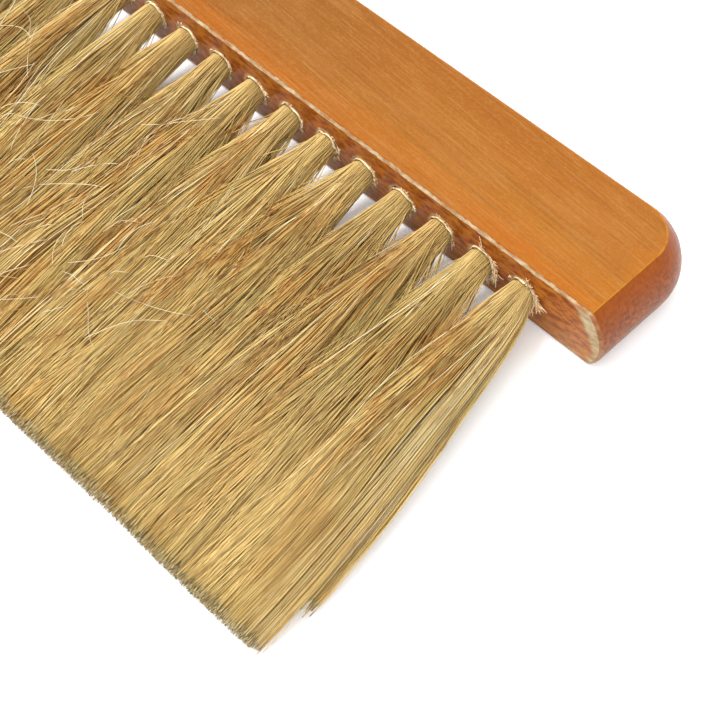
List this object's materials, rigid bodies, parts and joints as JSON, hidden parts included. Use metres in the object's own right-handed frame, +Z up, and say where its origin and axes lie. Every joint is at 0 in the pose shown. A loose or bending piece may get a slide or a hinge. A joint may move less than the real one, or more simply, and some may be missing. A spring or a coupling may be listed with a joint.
{
  "type": "bee brush",
  "caption": "Flat wooden brush with one long row of soft bristle tufts in its edge and a shaped grip with a hanging hole, for sweeping bees off combs.",
  "frame": {"origin": "middle of the bounding box, on the surface that the brush lies on", "axes": "+X along the handle towards its square-cut end, +Z up through the handle's thickness, -Y the way the bristles point"},
  "size_m": [0.36, 0.0888, 0.013],
  "materials": {
    "varnished_wood": "satin amber varnish, worn pale along the bristle face's edge",
    "bristle": "straw-coloured natural bristle with darker and paler hairs",
    "staple_wire": "flattened steel wire"
  },
  "bodies": {
    "root": {"handle": "varnished_wood", "anchor_staples": "staple_wire", "tuft_01": "bristle", "tuft_02": "bristle", "tuft_03": "bristle", "tuft_04": "bristle", "tuft_05": "bristle", "tuft_06": "bristle", "tuft_07": "bristle", "tuft_08": "bristle", "tuft_09": "bristle", "tuft_10": "bristle", "tuft_11": "bristle", "tuft_12": "bristle", "tuft_13": "bristle", "tuft_14": "bristle", "tuft_15": "bristle", "tuft_16": "bristle", "tuft_17": "bristle", "tuft_18": "bristle", "tuft_19": "bristle", "tuft_20": "bristle", "tuft_21": "bristle", "tuft_22": "bristle", "tuft_23": "bristle", "tuft_24": "bristle", "tuft_25": "bristle", "tuft_26": "bristle"}
  },
  "joints": []
}
